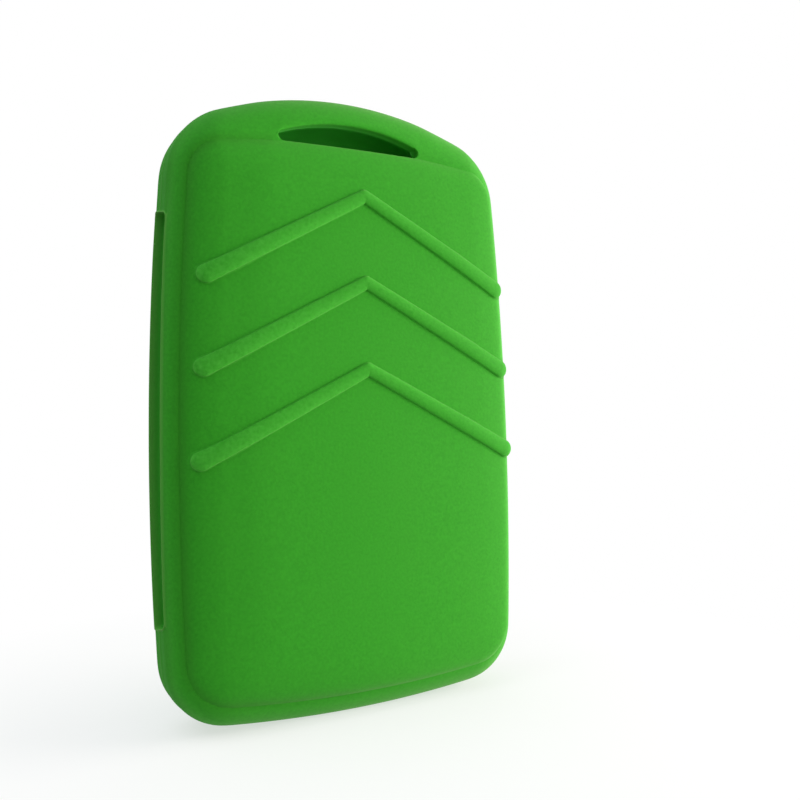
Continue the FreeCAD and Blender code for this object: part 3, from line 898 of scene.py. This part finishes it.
def white_silicone():
    """Off-white silicone bead, moulded smoother than the sleeve. The eye sees satin, faintly clouded."""
    material = bpy.data.materials.new("moulded_white_silicone")
    material.use_nodes = True
    tree = material.node_tree
    shader = tree.nodes["Principled BSDF"]
    place = add_node(tree, "ShaderNodeTexCoord").outputs["Object"]
    settings = {"Scale": 1 / (BEAD_CLOUD_SIZE * MM), "Detail": 2.0}
    cloud = add_node(tree, "ShaderNodeTexNoise", settings, Vector=place)
    colour = add_node(tree, "ShaderNodeMix", {"data_type": "RGBA"}, Factor=cloud.outputs["Fac"])
    colour.inputs["A"].default_value = linear("#EDF0E2")
    colour.inputs["B"].default_value = linear("#F4F6EC")
    tree.links.new(colour.outputs["Result"], shader.inputs["Base Color"])
    shader.inputs["Roughness"].default_value = 0.45
    shader.inputs["IOR"].default_value = 1.41
    return material


def seen_ray(tree):
    """A socket that is 1 where a ray comes from the camera, off a gloss or through a clear body, else 0."""
    path = add_node(tree, "ShaderNodeLightPath").outputs
    seen = path["Is Camera Ray"]
    for other in ("Is Glossy Ray", "Is Transmission Ray"):
        either = add_node(tree, "ShaderNodeMath", {"operation": "MAXIMUM"})
        tree.links.new(seen, either.inputs[0])
        tree.links.new(path[other], either.inputs[1])
        seen = either.outputs["Value"]
    return seen


def seamless_paper():
    """Matt white paper under the cover. The eye sees a soft shadow near the cover, which runs out into plain
    white. The paper lights the cover at a level of its own, higher on the key's side than in the shadow."""
    material = bpy.data.materials.new("matt_white_paper")
    material.use_nodes = True
    tree = material.node_tree
    shader = tree.nodes["Principled BSDF"]
    shader.inputs["Base Color"].default_value = linear("#FCFCFC")
    shader.inputs["Roughness"].default_value = 0.9
    place = add_node(tree, "ShaderNodeTexCoord").outputs["Object"]
    away = add_node(tree, "ShaderNodeVectorMath", {"operation": "LENGTH"}, Vector=place)
    run = {"From Min": PAPER_NEAR, "From Max": PAPER_FAR, "To Min": PAPER_GLOW}
    far = add_node(tree, "ShaderNodeMapRange", run, Value=away.outputs["Value"])
    seen = seen_ray(tree)
    side = add_node(tree, "ShaderNodeSeparateXYZ", Vector=place).outputs["X"]
    sides = {"From Min": -PAPER_FAR, "From Max": PAPER_FAR, "To Min": SHADOW_BOUNCE, "To Max": KEY_BOUNCE}
    bounce = add_node(tree, "ShaderNodeMapRange", sides, Value=side).outputs["Result"]
    level = add_node(tree, "ShaderNodeMapRange", {"To Max": 1.0}, Value=seen, To_Min=bounce)
    glow = add_node(tree, "ShaderNodeEmission", Strength=level.outputs["Result"])
    blend = add_node(tree, "ShaderNodeMixShader")
    share = add_node(tree, "ShaderNodeMix", {"A": 1.0}, Factor=seen)
    tree.links.new(far.outputs["Result"], share.inputs["B"])
    tree.links.new(share.outputs["Result"], blend.inputs[0])
    tree.links.new(shader.outputs["BSDF"], blend.inputs[1])
    tree.links.new(glow.outputs["Emission"], blend.inputs[2])
    tree.links.new(blend.outputs["Shader"], tree.nodes["Material Output"].inputs["Surface"])
    return material


# Stage, light and camera, in metres
PAPER_SIZE = 4.0
PAPER_NEAR = 0.02
PAPER_FAR = 0.08
PAPER_GLOW = 0.6
SHADOW_BOUNCE, KEY_BOUNCE = 0.28, 1.1
WORLD_STRENGTH = 0.58
FILL_COLOUR = "#EAF4F4"
KEY_PLACE = (0.279, -0.102, 0.062)
KEY_SIZE = 0.2
KEY_POWER = 1.75
KEY_COLOUR = "#FFF1EC"
TOP_LAMP_PLACE = (-0.2, -0.03, 0.36)
TOP_LAMP_SIZE = 0.3
TOP_LAMP_POWER = 0.45
CAMERA_PLACE = (-0.05014, -0.11017, 0.03855)
CAMERA_TURN = (91.305, 1.354, -28.371)
CAMERA_FOCAL_SHARE = 1.0892


def make_stage():
    """The paper floor: a square about the cover's foot."""
    half = PAPER_SIZE / 2
    corners = [(-half, -half, 0), (half, -half, 0), (half, half, 0), (-half, half, 0)]
    mesh = bpy.data.meshes.new("paper")
    mesh.from_pydata(corners, [], [(0, 1, 2, 3)])
    mesh.materials.append(seamless_paper())
    paper = bpy.data.objects.new("paper", mesh)
    bpy.context.scene.collection.objects.link(paper)


def light_world():
    """Soft light from all round, and a white background wherever a ray sees it directly or in a gloss."""
    world = bpy.data.worlds.new("studio")
    bpy.context.scene.world = world
    world.use_nodes = True
    tree = world.node_tree
    background = tree.nodes["Background"]
    seen = seen_ray(tree)
    level = add_node(tree, "ShaderNodeMapRange", {"To Min": WORLD_STRENGTH, "To Max": 1.0}, Value=seen)
    tree.links.new(level.outputs["Result"], background.inputs["Strength"])
    colour = add_node(tree, "ShaderNodeMix", {"data_type": "RGBA"}, Factor=seen)
    colour.inputs["A"].default_value = linear(FILL_COLOUR)
    colour.inputs["B"].default_value = linear("#FFFFFF")
    tree.links.new(colour.outputs["Result"], background.inputs["Color"])


def add_lamp(name, place, size, power, colour):
    """A square soft lamp that faces the middle of the cover."""
    lamp = bpy.data.lights.new(name, "AREA")
    lamp.size, lamp.energy = size, power
    lamp.color = linear(colour)[:3]
    holder = bpy.data.objects.new(name, lamp)
    holder.location = place
    towards = Vector((0, 0, HEIGHT * MM / 2)) - Vector(place)
    holder.rotation_euler = towards.to_track_quat("-Z", "Y").to_euler()
    bpy.context.scene.collection.objects.link(holder)


def make_camera():
    """A camera at the photograph's place, with its focal length as a share of the picture's width."""
    data = bpy.data.cameras.new("camera")
    data.sensor_fit = "HORIZONTAL"
    data.lens = CAMERA_FOCAL_SHARE * data.sensor_width
    data.clip_start = MM
    camera = bpy.data.objects.new("camera", data)
    camera.location = CAMERA_PLACE
    camera.rotation_euler = Euler([math.radians(a) for a in CAMERA_TURN])
    bpy.context.scene.collection.objects.link(camera)
    bpy.context.scene.camera = camera


# The cover's pieces: the ribs and the bead each on its body, and the sleeve, which spans both sides across
# its border, on none
GREEN = green_silicone()
WHITE = white_silicone()

sleeve = make_sleeve(GREEN)
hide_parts("chevron_side_shell", "window_side_shell")
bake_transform(sleeve)

for number, rib_name in enumerate(RIB_NAMES):
    rib = make_rib(number, GREEN)
    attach(rib, "chevron_side")
    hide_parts(f"chevron_rib_{rib_name}")

rim = make_rim(WHITE)
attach(rim, "window_side")
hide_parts("window_rim")

make_stage()
light_world()
add_lamp("key", KEY_PLACE, KEY_SIZE, KEY_POWER, KEY_COLOUR)
add_lamp("top", TOP_LAMP_PLACE, TOP_LAMP_SIZE, TOP_LAMP_POWER, FILL_COLOUR)
make_camera()
bpy.context.scene.view_settings.view_transform = "Standard"
